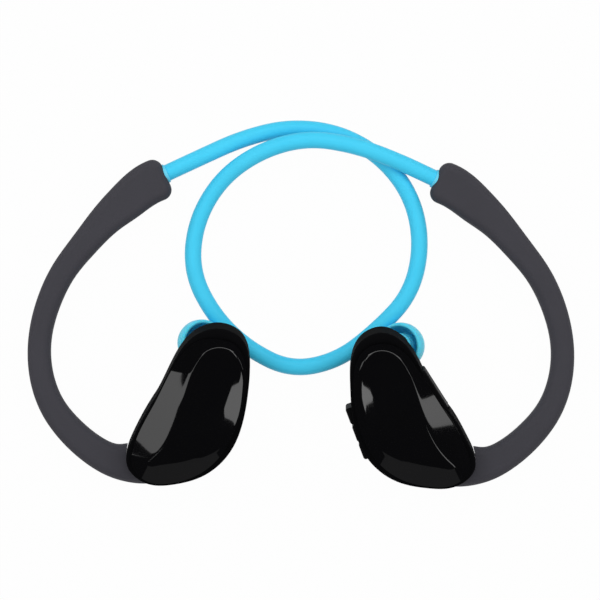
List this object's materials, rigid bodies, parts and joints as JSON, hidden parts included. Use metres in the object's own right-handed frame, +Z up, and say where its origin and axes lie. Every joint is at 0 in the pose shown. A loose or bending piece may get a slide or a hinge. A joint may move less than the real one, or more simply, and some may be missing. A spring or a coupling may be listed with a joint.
{
  "type": "behind-the-neck sports headphones",
  "caption": "Wireless sports headset: two glossy black pods with silicone ear tips on soft ear hooks, joined by a bright silicone neckband looped and crossed behind them.",
  "frame": {"origin": "centre of the footprint, on the surface the headset lies on", "axes": "+Z up, the side the glossy covers face; +X towards the pod that carries the keys and charging port; +Y from the pods towards the neckband"},
  "size_m": [0.1444, 0.0973, 0.0238],
  "materials": {
    "band_silicone": "satin",
    "tip_silicone": "satin",
    "collar_silicone": "satin",
    "spring_steel": "drawn",
    "cable_jacket": "satin",
    "housing_plastic": "matte",
    "cover_plastic": "gloss",
    "gasket_rubber": "matte",
    "mesh_steel": "woven",
    "foam": "foam",
    "driver_plastic": "matte",
    "diaphragm_film": "film",
    "magnet_metal": "plated",
    "hook_rubber": "soft matte",
    "key_rubber": "matte",
    "switch_metal": "stamped",
    "port_metal": "plated",
    "board_laminate": "solder mask",
    "can_metal": "tinned",
    "microphone_metal": "plated",
    "screw_steel": "zinc",
    "clear_plastic": "clear",
    "lamp_plastic": "moulded",
    "cell_foil": "foil"
  },
  "bodies": {
    "headset": {"neckband": "band_silicone", "memory_wire": "spring_steel", "signal_cable": "cable_jacket", "right_inner_housing": "housing_plastic", "right_outer_cover": "cover_plastic", "right_cover_gasket": "gasket_rubber", "right_ear_tip": "tip_silicone", "right_nozzle_mesh": "mesh_steel", "right_driver_foam": "foam", "right_driver_frame": "driver_plastic", "right_driver_diaphragm": "diaphragm_film", "right_driver_magnet": "magnet_metal", "right_ear_hook": "hook_rubber", "right_band_collar": "collar_silicone", "left_inner_housing": "housing_plastic", "left_outer_cover": "cover_plastic", "left_cover_gasket": "gasket_rubber", "left_ear_tip": "tip_silicone", "left_nozzle_mesh": "mesh_steel", "left_driver_foam": "foam", "left_driver_frame": "driver_plastic", "left_driver_diaphragm": "diaphragm_film", "left_driver_magnet": "magnet_metal", "left_ear_hook": "hook_rubber", "left_band_collar": "collar_silicone", "key_switches": "switch_metal", "charging_socket": "port_metal", "circuit_board": "board_laminate", "shield_can": "can_metal", "microphone": "microphone_metal", "board_screws": "screw_steel", "light_pipe": "clear_plastic", "status_lamp": "lamp_plastic", "battery_pad": "foam", "battery": "cell_foil", "protection_board": "board_laminate"},
    "volume_up": {"volume_up_key": "key_rubber"},
    "multi_function": {"multi_function_key": "key_rubber"},
    "volume_down": {"volume_down_key": "key_rubber"},
    "port_flap": {"port_cover": "key_rubber"}
  },
  "joints": [
    {"name": "volume_up_press", "type": "slide", "parent": "headset", "child": "volume_up", "axis": [0.9403, 0.328, 0.091], "range_m": [0, 0.00035], "stiffness_N_per_m": 1000, "springref_m": -0.001},
    {"name": "multi_function_press", "type": "slide", "parent": "headset", "child": "multi_function", "axis": [0.9403, 0.328, 0.091], "range_m": [0, 0.00035], "stiffness_N_per_m": 1000, "springref_m": -0.001},
    {"name": "volume_down_press", "type": "slide", "parent": "headset", "child": "volume_down", "axis": [0.9403, 0.328, 0.091], "range_m": [0, 0.00035], "stiffness_N_per_m": 1000, "springref_m": -0.001},
    {"name": "port_cover_hinge", "type": "hinge", "parent": "headset", "child": "port_flap", "pos_m": [0.03793, -0.02664, 0.01282], "axis": [0, 0.2672, -0.9636], "range_deg": [0, 90]}
  ]
}
